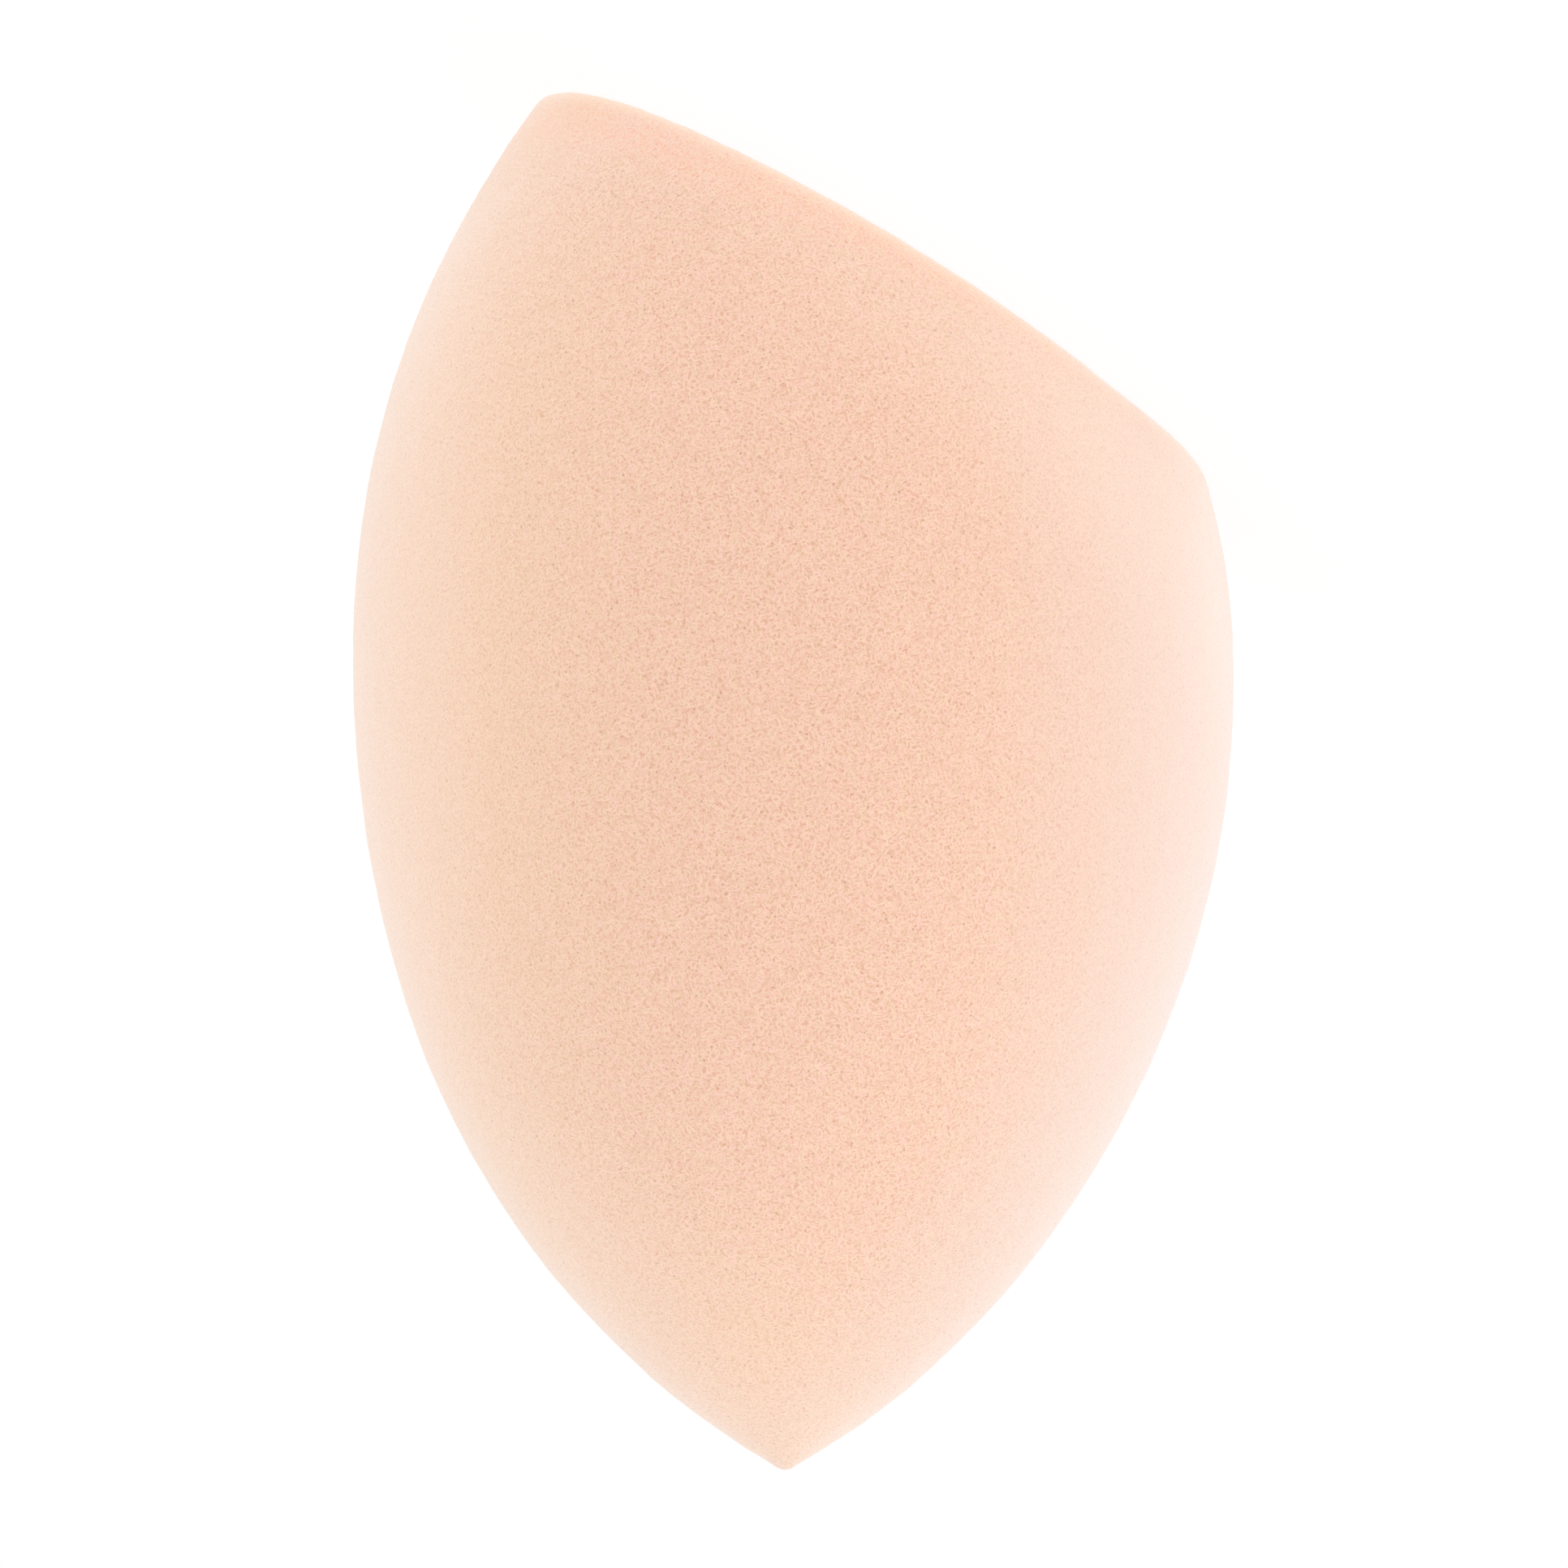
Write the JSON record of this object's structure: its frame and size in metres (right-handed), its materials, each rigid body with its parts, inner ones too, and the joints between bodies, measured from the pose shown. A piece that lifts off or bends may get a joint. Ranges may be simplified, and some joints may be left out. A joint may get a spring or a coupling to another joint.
{
  "type": "makeup sponge",
  "caption": "Slant-cut teardrop makeup sponge: a pointed foam drop with a flat angled face, coated all over in short velvety fibres, for dabbing on and blending makeup.",
  "frame": {"origin": "the middle of the slanted cut face, which the sponge stands on", "axes": "+Z out of the table, square to the cut face and into the sponge; the pointed tip leans towards -X and the long side of the drop is at +X; the sponge is the same on both sides of the XZ plane"},
  "size_m": [0.047, 0.04, 0.048],
  "materials": {
    "foam": "soft open-celled polyurethane foam",
    "adhesive": "dried soft acrylic adhesive",
    "pile": "short microfibre flock, matt and velvety"
  },
  "bodies": {
    "root": {"foam_core": "foam", "side_bond": "adhesive", "face_bond": "adhesive", "side_pile": "pile", "face_pile": "pile"}
  },
  "joints": []
}
